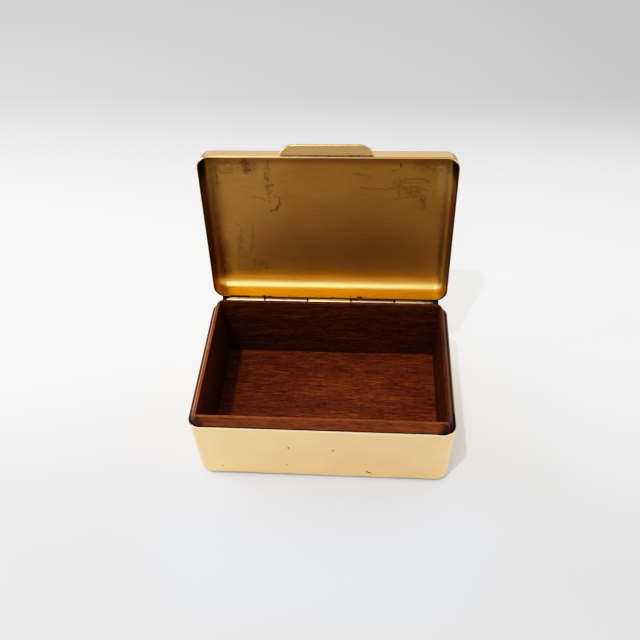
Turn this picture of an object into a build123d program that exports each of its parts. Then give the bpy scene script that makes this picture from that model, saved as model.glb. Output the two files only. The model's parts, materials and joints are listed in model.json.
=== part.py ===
"""Desk box: a drawn brass case and lid, a five-knuckle hinge and a mahogany lining.

The frame's origin is the middle of the case's underside. +X is the box's right, +Y its back and +Z up.
The lid is built closed, in its place on the case, and is then turned open about the hinge axis until the
bevels of the two hinge bars meet. All sizes are in millimetres and degrees.
"""
import math
import os

from build123d import *

# Box outline, shared by the case and the lid
box_width = 160.0
box_depth = 104.0
corner_radius = 8.0
rim_arris = 0.25

# Case shell
case_height = 53.0
case_wall = 1.2
case_base_radius = 4.6

# Lid shell
lid_height = 15.0
lid_wall = 1.2
lid_edge_radius = 7.6
rim_gap = 0.1

# Lining boards
board_thickness = 4.4
floor_thickness = 6.8
lining_rise = 6.5
lining_gap = 0.1
glue_line = 0.04
bevel_width = 2.7
arris_width = 0.4
bevel_arris_radius = 0.7
foot_relief = 0.4

# Hinge
hinge_inset = 5.5
knuckle_count = 5
knuckle_gap = 0.4
knuckle_radius = 1.7
pin_radius = 0.75
pin_clearance = 0.05
pin_head_radius = 1.2
pin_head_length = 0.5
pin_end_play = 0.1
axis_setback = 2.2
solder_film = 0.03
flute_clearance = 0.2

# Hinge bars
bar_leaf_thickness = 0.8
case_bar_height = 9.0
lid_bar_height = 6.6
bar_reach = 1.9
bar_back_height = 1.6
bar_shoulder = 1.4
bar_end_chamfer = 0.6
open_angle = 101.0
stop_gap = 0.02

# Finger tab
tab_width = 58.0
tab_reach = 6.9
tab_thickness = 2.7
tab_rise = 0.7
tab_corner_radius = 10.0
tab_edge_radius = 0.7
tab_arris = 0.25

# Places worked out from the sizes above
back_face = box_depth / 2
lid_rim = case_height + rim_gap
axis_y = back_face + axis_setback
axis_z = case_height + rim_gap / 2
hinge_axis = Axis((0, axis_y, axis_z), (1, 0, 0))
hinge_length = box_width - 2 * hinge_inset
knuckle_pitch = hinge_length / knuckle_count


def open_lid(piece):
    """Turn a piece that was built in the closed lid to its open place."""
    return piece.rotate(hinge_axis, -open_angle)


def rounded_block(width, depth, radius, height, base, taper=0.0):
    """A block on a rounded rectangle, centred on the box, from the height base upwards."""
    outline = Plane.XY.offset(base) * RectangleRounded(width, depth, radius)
    return extrude(outline, amount=height, taper=taper)


def along_hinge(section, start, length):
    """Extrude a section of (back, up) points about the hinge axis along +X, from x = start."""
    plane = Plane(origin=(start, axis_y, axis_z), x_dir=(0, 1, 0), z_dir=(1, 0, 0))
    return extrude(plane * make_face(Polyline(*section, close=True)), amount=length)


def hinge_cylinder(radius, start, length):
    """A round bar on the hinge axis, from x = start towards +X."""
    plane = Plane(origin=(start, axis_y, axis_z), x_dir=(0, 1, 0), z_dir=(1, 0, 0))
    return extrude(plane * Circle(radius), amount=length)


def case_shell():
    """The drawn tray: one even wall, a rounded base edge and an open top with its rim's edges taken off."""
    block = rounded_block(box_width, box_depth, corner_radius, case_height, 0)
    block = fillet(block.faces().sort_by(Axis.Z)[0].edges(), case_base_radius)
    shell = offset(block, -case_wall, openings=block.faces().sort_by(Axis.Z)[-1])
    return chamfer(shell.faces().sort_by(Axis.Z)[-1].edges(), rim_arris)


def lid_shell():
    """The drawn lid, built closed: one even wall, a full edge round and an open underside."""
    block = rounded_block(box_width, box_depth, corner_radius, lid_height, lid_rim)
    block = fillet(block.faces().sort_by(Axis.Z)[-1].edges(), lid_edge_radius)
    shell = offset(block, -lid_wall, openings=block.faces().sort_by(Axis.Z)[0])
    return chamfer(shell.faces().sort_by(Axis.Z)[0].edges(), rim_arris)


# Lining outline, from the inside of the case
lining_width = box_width - 2 * (case_wall + lining_gap)
lining_depth = box_depth - 2 * (case_wall + lining_gap)
lining_corner = corner_radius - case_wall - lining_gap
tray_width = lining_width - 2 * board_thickness
tray_depth = lining_depth - 2 * board_thickness
lining_top = case_height + lining_rise


def lining_ring():
    """The four boards as one ring: rounded outer corners, sharp inner ones, a bevel above the case rim."""
    foot = case_wall
    lower = rounded_block(lining_width, lining_depth, lining_corner, case_height - foot, foot)
    foot_radius = case_base_radius - case_wall + foot_relief
    lower = fillet(lower.faces().sort_by(Axis.Z)[0].edges(), foot_radius)
    bevel_angle = math.degrees(math.atan2(bevel_width, lining_rise))
    upper = rounded_block(lining_width, lining_depth, lining_corner, lining_rise, case_height, bevel_angle)
    upper = fillet(upper.faces().sort_by(Axis.Z)[-1].edges(), bevel_arris_radius)
    hollow = Pos(0, 0, lining_top / 2) * Box(tray_width, tray_depth, 2 * lining_top)
    mouth = Plane.XY.offset(lining_top - arris_width) * Rectangle(tray_width, tray_depth)
    return lower + upper - hollow - extrude(mouth, amount=2 * arris_width, taper=-45)


def lining_board(ring, side):
    """One mitred board of the ring: side is front, right, back or left."""
    half_width = lining_width / 2
    half_depth = lining_depth / 2
    inset = board_thickness + glue_line
    slack = glue_line / math.sqrt(2)
    outer_x = half_width - slack
    outer_y = half_depth - slack
    inner_x = half_width - inset - slack
    inner_y = half_depth - inset - slack
    wedges = {
        "front": [(-outer_x, -half_depth), (outer_x, -half_depth), (inner_x, -half_depth + inset),
                  (-inner_x, -half_depth + inset)],
        "right": [(half_width, -outer_y), (half_width, outer_y), (half_width - inset, inner_y),
                  (half_width - inset, -inner_y)],
        "back": [(outer_x, half_depth), (-outer_x, half_depth), (-inner_x, half_depth - inset),
                 (inner_x, half_depth - inset)],
        "left": [(-half_width, outer_y), (-half_width, -outer_y), (-half_width + inset, -inner_y),
                 (-half_width + inset, inner_y)],
    }
    wedge = extrude(make_face(Polyline(*wedges[side], close=True)), amount=2 * lining_top)
    return ring & wedge


def lining_floor():
    """The floor board, lying on the case's bottom between the four side boards."""
    clearance = 2 * lining_gap
    middle = Pos(0, 0, case_wall + floor_thickness / 2)
    return middle * Box(tray_width - clearance, tray_depth - clearance, floor_thickness)


def knuckle_start(index):
    """The x at which a knuckle's share of the hinge begins, counted from the left."""
    return -hinge_length / 2 + index * knuckle_pitch


def belongs_to_lid(index):
    """Knuckles alternate, and both end ones are the lid's."""
    return index % 2 == 0


def knuckle(index):
    """One tube knuckle with its bore."""
    start = knuckle_start(index) + knuckle_gap / 2
    length = knuckle_pitch - knuckle_gap
    tube = hinge_cylinder(knuckle_radius, start, length)
    return tube - hinge_cylinder(pin_radius + pin_clearance, start, length)


def hinge_pin():
    """The pin through all the knuckles, with a riveted head beyond each end knuckle."""
    knuckle_end = hinge_length / 2 - knuckle_gap / 2
    half = knuckle_end + pin_end_play
    pin = hinge_cylinder(pin_radius, -half, 2 * half)
    for start in (-half - pin_head_length, half):
        head = hinge_cylinder(pin_head_radius, start, pin_head_length)
        outer = head.faces().sort_by(Axis.X)[0 if start < 0 else -1]
        pin += chamfer(outer.edges(), pin_head_length / 2)
    return pin


def hinge_bar(height, for_lid):
    """A hinge bar, built for the case or mirrored for the lid.

    The flat leaf lies on the box's back. Behind the knuckles the bar has a bevel that passes through the
    hinge axis: the two bevels meet when the lid has turned by the open angle, and stop it there. The flute
    is close on the bar's own knuckles and clears the other bar's.
    """
    bevel = math.radians(open_angle / 2)
    tip_drop = bar_reach * math.tan(bevel) + stop_gap
    wall = -axis_setback
    leaf = wall + bar_leaf_thickness
    back_foot = tip_drop + bar_back_height
    section = [
        (wall, -rim_gap / 2),
        (wall, -height),
        (leaf, -height),
        (leaf, -back_foot - bar_shoulder),
        (bar_reach, -back_foot),
        (bar_reach, -tip_drop),
        (0, -stop_gap),
        (0, -rim_gap / 2),
    ]
    bar = along_hinge(section, -hinge_length / 2, hinge_length)
    for end in (0, -1):
        face = bar.faces().sort_by(Axis.X)[end]
        bar = chamfer(face.edges().filter_by(Axis.Z).sort_by(Axis.Y)[-1], bar_end_chamfer)
    if for_lid:
        bar = mirror(bar, Plane(origin=(0, axis_y, axis_z), z_dir=(0, 0, 1)))
    for index in range(knuckle_count):
        own = belongs_to_lid(index) == for_lid
        flute = knuckle_radius + (solder_film if own else flute_clearance)
        bar -= hinge_cylinder(flute, knuckle_start(index), knuckle_pitch)
    return bar


def finger_tab():
    """The lip on the lid's front wall, built closed: round corners, a round upper edge and a crisp lower one."""
    front_face = -box_depth / 2
    root_rise = math.sqrt(tab_corner_radius**2 - (tab_corner_radius - tab_reach) ** 2)
    outline_width = tab_width + 2 * (tab_corner_radius - root_rise)
    outline_depth = 2 * (tab_corner_radius + tab_reach)
    outline = RectangleRounded(outline_width, outline_depth, tab_corner_radius)
    plane = Plane.XY.offset(lid_rim + tab_rise)
    centre_y = front_face - tab_reach + outline_depth / 2
    block = extrude(plane * Pos(0, centre_y) * outline, amount=tab_thickness)
    block = fillet(block.faces().sort_by(Axis.Z)[-1].edges(), tab_edge_radius)
    block = chamfer(block.faces().sort_by(Axis.Z)[0].edges(), tab_arris)
    behind = Pos(0, front_face + outline_depth / 2, lid_rim) * Box(2 * tab_width, outline_depth, 4 * tab_thickness)
    return block - behind


def build():
    """Every piece by node name, in its place with the lid open."""
    ring = lining_ring()
    pieces = {
        "case_shell": case_shell(),
        "lining_floor": lining_floor(),
        "lining_front": lining_board(ring, "front"),
        "lining_back": lining_board(ring, "back"),
        "lining_left": lining_board(ring, "left"),
        "lining_right": lining_board(ring, "right"),
        "case_hinge_bar": hinge_bar(case_bar_height, for_lid=False),
        "hinge_pin": hinge_pin(),
        "lid_shell": open_lid(lid_shell()),
        "finger_tab": open_lid(finger_tab()),
        "lid_hinge_bar": open_lid(hinge_bar(lid_bar_height, for_lid=True)),
    }
    places = ["left", "left", "middle", "right", "right"]
    for index in range(knuckle_count):
        owner = "lid" if belongs_to_lid(index) else "case"
        tube = knuckle(index)
        name = f"knuckle_{owner}_{places[index]}"
        pieces[name] = open_lid(tube) if owner == "lid" else tube
    return pieces


os.makedirs("parts", exist_ok=True)
for name, piece in build().items():
    export_step(piece, f"parts/{name}.step")
    print(name, round(piece.volume, 1), "mm3")
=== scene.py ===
"""The looks of a brass desk box with a hinged lid and a mahogany lining.

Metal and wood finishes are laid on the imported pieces, solder is run along the hinge bars and the finger tab,
and a pale floor, soft light and a camera are set round the box. Finishes work in millimetres.
"""

import json
import logging
import math
from dataclasses import dataclass, field
from enum import Enum
from typing import Iterable, Mapping, Optional, Sequence, Union

import bmesh
import bpy
from mathutils import Matrix, Vector, noise

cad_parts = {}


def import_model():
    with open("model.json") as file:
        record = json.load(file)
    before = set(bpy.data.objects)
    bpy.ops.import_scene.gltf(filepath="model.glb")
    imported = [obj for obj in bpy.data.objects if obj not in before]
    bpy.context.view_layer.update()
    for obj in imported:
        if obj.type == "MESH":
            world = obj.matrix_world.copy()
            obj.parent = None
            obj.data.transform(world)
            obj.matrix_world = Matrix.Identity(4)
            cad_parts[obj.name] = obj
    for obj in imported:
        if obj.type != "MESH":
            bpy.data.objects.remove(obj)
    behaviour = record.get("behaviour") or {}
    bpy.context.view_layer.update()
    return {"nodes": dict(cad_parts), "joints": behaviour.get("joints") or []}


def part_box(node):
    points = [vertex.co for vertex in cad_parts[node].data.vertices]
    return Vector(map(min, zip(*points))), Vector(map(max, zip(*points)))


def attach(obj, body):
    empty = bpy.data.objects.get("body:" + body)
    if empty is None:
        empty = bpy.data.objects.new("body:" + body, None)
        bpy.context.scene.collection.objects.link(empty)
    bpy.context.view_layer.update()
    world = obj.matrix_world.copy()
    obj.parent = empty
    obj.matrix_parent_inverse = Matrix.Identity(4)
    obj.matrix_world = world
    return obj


LOG = logging.getLogger("desk_box")
MM = 0.001

Pixel = tuple[float, float]
Triple = tuple[float, float, float]
Value = Union["Signal", float, Triple, Vector]


class Signal:
    """A number socket of a shader graph, on which Python arithmetic adds Math nodes."""

    def __init__(self, graph: "Graph", socket: bpy.types.NodeSocket) -> None:
        """Keep the graph and the output socket that the signal comes from."""
        self.graph = graph
        self.socket = socket

    def math(self, operation: str, *others: Union["Signal", float]) -> "Signal":
        """Add one Math node with this signal as its first value.

        Args:
            operation: the Math node's operation.
            others: its second and third values.

        Returns:
            The node's result.
        """
        return self.graph.math(operation, self, *others)

    def __add__(self, other: Union["Signal", float]) -> "Signal":
        """Add a signal or number."""
        return self.math("ADD", other)

    __radd__ = __add__

    def __mul__(self, other: Union["Signal", float]) -> "Signal":
        """Multiply by a signal or number."""
        return self.math("MULTIPLY", other)

    __rmul__ = __mul__

    def __sub__(self, other: Union["Signal", float]) -> "Signal":
        """Subtract a signal or number."""
        return self.math("SUBTRACT", other)

    def __rsub__(self, other: float) -> "Signal":
        """Subtract the signal from a number."""
        return self.graph.math("SUBTRACT", other, self)

    def __truediv__(self, other: Union["Signal", float]) -> "Signal":
        """Divide by a signal or number."""
        return self.math("DIVIDE", other)

    def __or__(self, other: Union["Signal", float]) -> "Signal":
        """Take the larger of two masks."""
        return self.math("MAXIMUM", other)

    def clamped(self) -> "Signal":
        """Keep the signal within 0 and 1."""
        return self.graph.node("Clamp", None, {"Value": self})


class Graph:
    """The nodes of one material or world."""

    def __init__(self, tree: bpy.types.NodeTree) -> None:
        """Start from an empty node tree."""
        self.tree = tree
        tree.nodes.clear()

    def node(self, kind: str, settings: Optional[Mapping[str, object]] = None,
             inputs: Optional[Mapping[Union[str, int], Value]] = None, output: Union[str, int] = 0) -> Signal:
        """Add one node.

        Args:
            kind: the node type's name after ShaderNode.
            settings: its properties, set first, with a colour ramp's stops under "stops".
            inputs: the values or signals of its sockets, by name or place.
            output: the name or place of the output to use.

        Returns:
            That output.
        """
        made = self.tree.nodes.new("ShaderNode" + kind)
        for key, value in (settings or {}).items():
            if key == "stops":
                self._set_stops(made.color_ramp, value)
            else:
                setattr(made, key, value)
        for key, value in (inputs or {}).items():
            self._feed(made.inputs[key], value)
        return Signal(self, made.outputs[output])

    def _set_stops(self, ramp: bpy.types.ColorRamp, stops: Iterable[tuple[float, Triple]]) -> None:
        """Give a colour ramp its stops.

        Args:
            ramp: the ramp to fill.
            stops: each stop's position and colour.
        """
        for place, (position, colour) in enumerate(stops):
            stop = ramp.elements[place] if place < 2 else ramp.elements.new(position)
            stop.position = position
            stop.color = (*colour, 1.0)

    def _feed(self, socket: bpy.types.NodeSocket, value: Value) -> None:
        """Link a signal to a socket, or set the socket's own value.

        Args:
            socket: the input to feed.
            value: the signal, or the plain value.
        """
        if isinstance(value, Signal):
            self.tree.links.new(value.socket, socket)
        elif socket.type == "RGBA":
            socket.default_value = (*value, 1.0)
        else:
            socket.default_value = value

    def math(self, operation: str, *values: Union[Signal, float]) -> Signal:
        """Add a Math node on up to three values."""
        return self.node("Math", {"operation": operation}, dict(enumerate(values)))

    def vector(self, operation: str, *values: Value, output: str = "Vector") -> Signal:
        """Add a Vector Math node on vectors."""
        return self.node("VectorMath", {"operation": operation}, dict(enumerate(values)), output)

    def scaled(self, vector: Value, factor: Signal) -> Signal:
        """Scale a vector by a signal."""
        return self.node("VectorMath", {"operation": "SCALE"}, {0: vector, "Scale": factor})

    def point(self) -> Signal:
        """The surface point in the piece's own coordinates, in millimetres."""
        here = self.node("TexCoord", output="Object")
        return self.vector("MULTIPLY", here, (1 / MM, 1 / MM, 1 / MM))

    def parts(self, vector: Signal) -> tuple[Signal, Signal, Signal]:
        """Split a vector into its three numbers.

        Args:
            vector: what is split.

        Returns:
            Its X, Y and Z.
        """
        split = self.node("SeparateXYZ", inputs={0: vector})
        outputs = split.socket.node.outputs
        return Signal(self, outputs[0]), Signal(self, outputs[1]), Signal(self, outputs[2])

    def step(self, value: Signal, low: float, high: float, start: float = 0.0, end: float = 1.0) -> Signal:
        """Turn a value smoothly from start to end between low and high.

        Args:
            value: the signal that is read.
            low: where the change begins.
            high: where the change ends.
            start: the result at low and beyond it.
            end: the result at high and beyond it.

        Returns:
            The smooth result.
        """
        limits = dict(enumerate((value, low, high, start, end)))
        return self.node("MapRange", {"interpolation_type": "SMOOTHSTEP"}, limits)

    def noise(self, point: Signal, sizes: Triple, detail: float = 2.0, roughness: float = 0.5) -> Signal:
        """Cloudy noise from 0 to 1.

        Args:
            point: where it is read, in millimetres.
            sizes: the size of a cloud along X, Y and Z, in millimetres.
            detail: how many finer layers it has.
            roughness: how strong those layers are.

        Returns:
            The noise.
        """
        shrunk = self.vector("DIVIDE", point, sizes)
        inputs = {"Vector": shrunk, "Scale": 1.0, "Detail": detail, "Roughness": roughness}
        return self.node("TexNoise", None, inputs)

    def specks(self, point: Signal, spacing: float, radius: float) -> Signal:
        """Small round specks at random places.

        Args:
            point: where they are read, in millimetres.
            spacing: the mean distance between them, in millimetres.
            radius: their size as a share of the spacing.

        Returns:
            A mask that is 1 within the specks.
        """
        shrunk = self.vector("DIVIDE", point, (spacing, spacing, spacing))
        distance = self.node("TexVoronoi", {"feature": "F1"}, {"Vector": shrunk, "Scale": 1.0}, "Distance")
        return self.step(distance, radius, 0.5 * radius)

    def blend(self, factor: Value, first: Value, second: Value) -> Signal:
        """Mix two colours, with the second in full where the factor is 1."""
        return self.node("Mix", {"data_type": "RGBA"}, {0: factor, 6: first, 7: second}, 2)

    def tint(self, factor: Value, first: Value, second: Value) -> Signal:
        """Multiply a colour by another, in full where the factor is 1."""
        settings = {"data_type": "RGBA", "blend_type": "MULTIPLY"}
        return self.node("Mix", settings, {0: factor, 6: first, 7: second}, 2)

    def bump(self, height: Signal, depth: float) -> Signal:
        """Turn a height from 0 to 1 into a normal, for a relief of this depth in millimetres."""
        return self.node("Bump", None, {"Height": height, "Distance": depth * MM, "Strength": 1.0}, "Normal")

    def end(self, kind: str, shader: Signal) -> None:
        """Send a shader to the graph's output node."""
        output = self.tree.nodes.new("ShaderNode" + kind)
        self._feed(output.inputs["Surface"], shader)

    def surface(self, inputs: Mapping[str, Value]) -> None:
        """End the graph in a Principled shader."""
        self.end("OutputMaterial", self.node("BsdfPrincipled", None, inputs))


def material_graph(name: str) -> tuple[bpy.types.Material, Graph]:
    """Start a material.

    Args:
        name: its name.

    Returns:
        The material and its empty graph.
    """
    material = bpy.data.materials.new(name)
    material.use_nodes = True
    return material, Graph(material.node_tree)


def dress(piece: bpy.types.Object, material: bpy.types.Material) -> None:
    """Give a piece one material in all its slots.

    Args:
        piece: the object to dress.
        material: its finish.
    """
    for slot in piece.material_slots:
        slot.material = material
    if not piece.material_slots:
        piece.data.materials.append(material)
    LOG.info("%s: %s", piece.name, material.name)


@dataclass(frozen=True)
class Stroke:
    """A mark that fades out round a short line, in millimetres."""

    start: Triple
    end: Triple
    width: float
    strength: float = 1.0

    def mask(self, graph: Graph, point: Signal) -> Signal:
        """Work out how strong the mark is at a point.

        Args:
            graph: the graph to add to.
            point: where it is read, in millimetres.

        Returns:
            The mask, at its strength on the line and 0 beyond its width.
        """
        run = Vector(self.end) - Vector(self.start)
        offset = graph.vector("SUBTRACT", point, self.start)
        if run.length > 0:
            share = graph.vector("DOT_PRODUCT", offset, run, output="Value") / run.length_squared
            offset = graph.vector("SUBTRACT", offset, graph.scaled(run, share.clamped()))
        distance = graph.vector("LENGTH", offset, output="Value")
        return graph.step(distance, 0.15 * self.width, self.width, self.strength, 0.0)


def strongest(graph: Graph, point: Signal, strokes: Sequence[Stroke]) -> Signal:
    """Join several strokes into one mask.

    Args:
        graph: the graph to add to.
        point: where they are read, in millimetres.
        strokes: the strokes, at least one.

    Returns:
        The strongest mask at each point.
    """
    mask = strokes[0].mask(graph, point)
    for stroke in strokes[1:]:
        mask = mask | stroke.mask(graph, point)
    return mask


class Shade(Enum):
    """The metals' own colours, those of what dulls and soils them, and painted light and shade."""

    POLISHED = (1.0, 0.695, 0.355)
    PAINTED_RIM_HIGHLIGHT = (0.93, 0.80, 0.62)
    DARK_SIDE_RIM = (0.06, 0.045, 0.035)
    RIM_LINE = (0.03, 0.02, 0.011)
    DULL = (0.60, 0.38, 0.18)
    LID_GOLD = (0.79, 0.515, 0.24)
    LID_HAZE = (0.75, 0.485, 0.225)
    ROUND_GOLD = (1.0, 0.61, 0.225)
    WALL_GOLD = (0.745, 0.44, 0.023)
    BROWN_LEFT = (0.49, 0.29, 0.12)
    BROWN_RIGHT = (0.40, 0.232, 0.08)
    BROWN_BACK = (0.57, 0.375, 0.115)
    PAINTED_GLOW = (0.87, 0.565, 0.20)
    HINGE_GOLD = (0.68, 0.51, 0.31)
    PINK_GOLD = (0.515, 0.38, 0.305)
    HINGE_DULL = (0.23, 0.20, 0.15)
    HINGE_OIL_AND_SHADE = (0.05, 0.052, 0.034)
    RING = (0.72, 0.50, 0.20)
    PATINA_AND_SHADE = (0.135, 0.08, 0.023)
    TARNISH = (0.048, 0.034, 0.020)
    GRIME_AND_GAP_SHADE = (0.012, 0.012, 0.009)
    STEEL = (0.42, 0.40, 0.37)
    STEEL_STAIN = (0.16, 0.12, 0.09)
    TIN = (0.30, 0.22, 0.13)
    CLEAN_TIN = (0.55, 0.42, 0.26)
    STAINED_AND_SHADED_TIN = (0.15, 0.11, 0.07)


class Timber(Enum):
    """The wood's colours from its darkest strands to its lightest, its dirt, and its painted sheen and shade."""

    DARK = (0.080, 0.021, 0.007)
    DEEP = (0.190, 0.055, 0.017)
    RED = (0.310, 0.100, 0.027)
    LIGHT = (0.460, 0.175, 0.048)
    PAINTED_SHEEN = (0.46, 0.17, 0.12)
    CORNER_SHADE = (0.030, 0.010, 0.010)
    FLECK = (0.008, 0.004, 0.003)
    GRIME_AND_GAP_SHADE = (0.006, 0.003, 0.002)


class Cast(Enum):
    """Colours that another colour is multiplied by."""

    CASE_CORNER_REFLECTION_TINT = (0.95, 0.88, 0.96)
    LID_WALL = (0.66, 0.93, 1.4)
    LID_ROUND = (1.14, 1.28, 1.6)
    LID_PAINTED_SHADE = (0.45, 0.37, 0.30)
    BRUSHED = (0.84, 0.80, 0.74)
    HAZY = (0.93, 0.90, 0.86)
    DRAWN = (0.86, 0.83, 0.78)
    LUMPY = (0.55, 0.52, 0.50)
    PORES = (0.34, 0.24, 0.20)


class Grain(Enum):
    """The way that a board's fibres run."""

    ALONG_X = (1.0, 0.0)
    ALONG_Y = (0.0, 1.0)


@dataclass(frozen=True)
class Outline:
    """The box's rounded outline from above, in millimetres."""

    half_width: float
    half_depth: float
    corner: float

    def beyond(self, graph: Graph, point: Signal) -> Signal:
        """Work out how far a point lies outside the outline.

        Args:
            graph: the graph to add to.
            point: the surface point, in millimetres.

        Returns:
            The distance in millimetres, which is less than 0 inside the outline.
        """
        x, y, _ = graph.parts(point)
        over_x = (x.math("ABSOLUTE") - (self.half_width - self.corner)).math("MAXIMUM", 0.0)
        over_y = (y.math("ABSOLUTE") - (self.half_depth - self.corner)).math("MAXIMUM", 0.0)
        return (over_x * over_x + over_y * over_y).math("SQRT") - self.corner


@dataclass(frozen=True)
class RimSeam:
    """The rim of the case round the lining, where old polish has dried, in millimetres.

    The grime and painted gap shade make a hairline near the rim's inner edge, and reach out over the rim in the
    heavy places. Where it lies and how far it reaches are shares of the wall's thickness.
    """

    outline: Outline
    height: float
    wall: float
    heavy: tuple[Stroke, ...]
    hairline_share: float = 0.84
    reach_share: float = 0.6
    softness: float = 0.12

    def grime_and_gap_shade(self, graph: Graph, point: Signal) -> Signal:
        """Find the dried polish and the painted shade of the gap.

        Args:
            graph: the graph to add to.
            point: the surface point, in millimetres.

        Returns:
            The mask, 1 in the grime and the painted gap shade.
        """
        ragged = graph.noise(point, (1.6, 1.6, 1.6), 3.0, 0.7)
        reach = strongest(graph, point, self.heavy) * (self.reach_share * self.wall)
        edge = self.outline.beyond(graph, point) - reach + (ragged - 0.5) * 0.5
        on_rim = graph.step(graph.parts(point)[2], self.height - 1.2, self.height - 0.5)
        hairline = -self.hairline_share * self.wall
        return graph.step(edge, hairline + self.softness, hairline - self.softness) * on_rim

    def dull_sides(self, graph: Graph, point: Signal) -> Signal:
        """Find the rim's top at the two sides, which is darker and less metallic than at the front.

        Args:
            graph: the graph to add to.
            point: the surface point, in millimetres.

        Returns:
            The mask of the dull sides.
        """
        x, _, z = graph.parts(point)
        on_rim = graph.step(z, self.height - 0.6, self.height - 0.1)
        side = self.outline.half_width
        return on_rim * graph.step(x.math("ABSOLUTE"), side - 4.0, side - 2.0) * 0.9

    def painted_rim_highlight(self, graph: Graph, point: Signal) -> Signal:
        """Find the rim's front edge, where a pale highlight is painted.

        Args:
            graph: the graph to add to.
            point: the surface point, in millimetres.

        Returns:
            The mask of the painted highlight.
        """
        _, y, z = graph.parts(point)
        on_rim = graph.step(z, self.height - 0.35, self.height - 0.15)
        front = -self.outline.half_depth
        edge = graph.step(y, front + 4.5, front + 2.5) * graph.step(y, front + 0.8, front + 0.5, 0.5, 1.0)
        return on_rim * edge


@dataclass(frozen=True)
class PolishedBrass:
    """Brass that has been polished bright, with a soft haze and a few tarnish specks.

    The specks lie on the case's front, between the two depths of front_band, and the grime, with painted gap shade,
    in the seam between the rim and the lining. The side that faces along dull_side has lost its polish.
    """

    name: str
    colour: Triple = Shade.POLISHED.value
    roughness: float = 0.13
    specks: tuple[Stroke, ...] = ()
    seam: Optional[RimSeam] = None
    dull_side: Optional[Triple] = None
    front_band: tuple[float, float] = (-50.0, -51.5)

    def material(self) -> bpy.types.Material:
        """Make the material.

        Returns:
            The finished material.
        """
        material, graph = material_graph(self.name)
        point = graph.point()
        haze = graph.noise(point, (38.0, 38.0, 38.0), 3.0, 0.55)
        hairlines = graph.noise(point, (9.0, 1.2, 0.35), 2.0, 0.6)
        colour = graph.blend(graph.step(haze, 0.35, 0.75), self.colour, tuple(0.93 * c for c in self.colour))
        rough = graph.step(haze, 0.3, 0.8, self.roughness, 1.6 * self.roughness) + hairlines * 0.04
        metal: Value = 1.0
        if self.specks:
            colour, rough = self._specked(graph, point, colour, rough)
        if self.seam:
            colour, metal, rough = self._seamed(graph, point, haze, colour, rough)
        if self.dull_side:
            outward = graph.node("TexCoord", output="Normal")
            facing = graph.vector("DOT_PRODUCT", outward, self.dull_side, output="Value")
            colour = graph.blend(graph.step(facing, 0.6, 0.9), colour, Shade.DULL.value)
        dents = graph.noise(point, (24.0, 24.0, 24.0), 1.0)
        relief = graph.bump(dents + hairlines * 0.004, 0.06)
        graph.surface({"Base Color": colour, "Metallic": metal, "Roughness": rough, "Normal": relief})
        return material

    def _specked(self, graph: Graph, point: Signal, colour: Signal, rough: Signal) -> tuple[Signal, Signal]:
        """Lay the specks, each with a dark middle and a faint ring, on the case's front.

        Args:
            graph: the graph to add to.
            point: the surface point, in millimetres.
            colour: the brass's colour so far.
            rough: its roughness so far.

        Returns:
            The colour and the roughness with the specks.
        """
        flat = graph.vector("MULTIPLY", point, (1.0, 0.0, 1.0))
        ragged = graph.noise(point, (0.9, 0.9, 0.9), 2.0, 0.7)
        cores = graph.step(strongest(graph, flat, self.specks) + ragged - 0.5, 0.25, 0.75)
        rings = [Stroke(s.start, s.end, 3.2 * s.width, 0.45 * s.strength) for s in self.specks]
        stains = strongest(graph, flat, rings) * graph.step(ragged, 0.45, 0.62)
        front = graph.step(graph.parts(point)[1], *self.front_band)
        colour = graph.blend(stains * front, colour, Shade.RING.value)
        colour = graph.blend(cores * front, colour, Shade.TARNISH.value)
        return colour, rough + cores * front * 0.3

    def _seamed(self, graph: Graph, point: Signal, haze: Signal, colour: Signal,
                rough: Signal) -> tuple[Signal, Signal, Signal]:
        """Paint shade on the case's foot, tint the reflection at its left corners, and paint a highlight on its
        rim's front edge, darken the rim's sides and soil it.

        Args:
            graph: the graph to add to.
            point: the surface point, in millimetres.
            haze: the soft haze, from 0 to 1.
            colour: the brass's colour so far.
            rough: its roughness so far.

        Returns:
            The colour, how metallic it is, and the roughness.
        """
        x, _, z = graph.parts(point)
        # painted shade: the foot darkened where the base round mirrors the shaded floor under the case
        foot_shade = graph.step(z + haze * 0.6, 1.9, 1.0)
        colour = graph.blend(foot_shade * 0.85, colour, Shade.PATINA_AND_SHADE.value)
        # painted reflection: the bright reflection at the left corners tinted darker and pinker
        left = -self.seam.outline.half_width
        colour = graph.tint(graph.step(x, left + 10.0, left + 3.0), colour, Cast.CASE_CORNER_REFLECTION_TINT.value)
        # painted highlight: the rim's front edge made pale and less metallic
        wear_and_rim_highlight = self.seam.painted_rim_highlight(graph, point)
        colour = graph.blend(wear_and_rim_highlight, colour, Shade.PAINTED_RIM_HIGHLIGHT.value)
        # the side rims made darker and less metallic
        dull = self.seam.dull_sides(graph, point)
        metal = (1.0 - wear_and_rim_highlight * 0.65) * (1.0 - dull * 0.8)
        colour = graph.blend(dull, colour, Shade.DARK_SIDE_RIM.value)
        # grime, with painted shade of the gap between the rim and the lining
        grime_and_gap_shade = self.seam.grime_and_gap_shade(graph, point)
        colour = graph.blend(grime_and_gap_shade, colour, Shade.GRIME_AND_GAP_SHADE.value)
        return colour, metal, rough + grime_and_gap_shade * 0.5 + dull * 0.4


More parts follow.
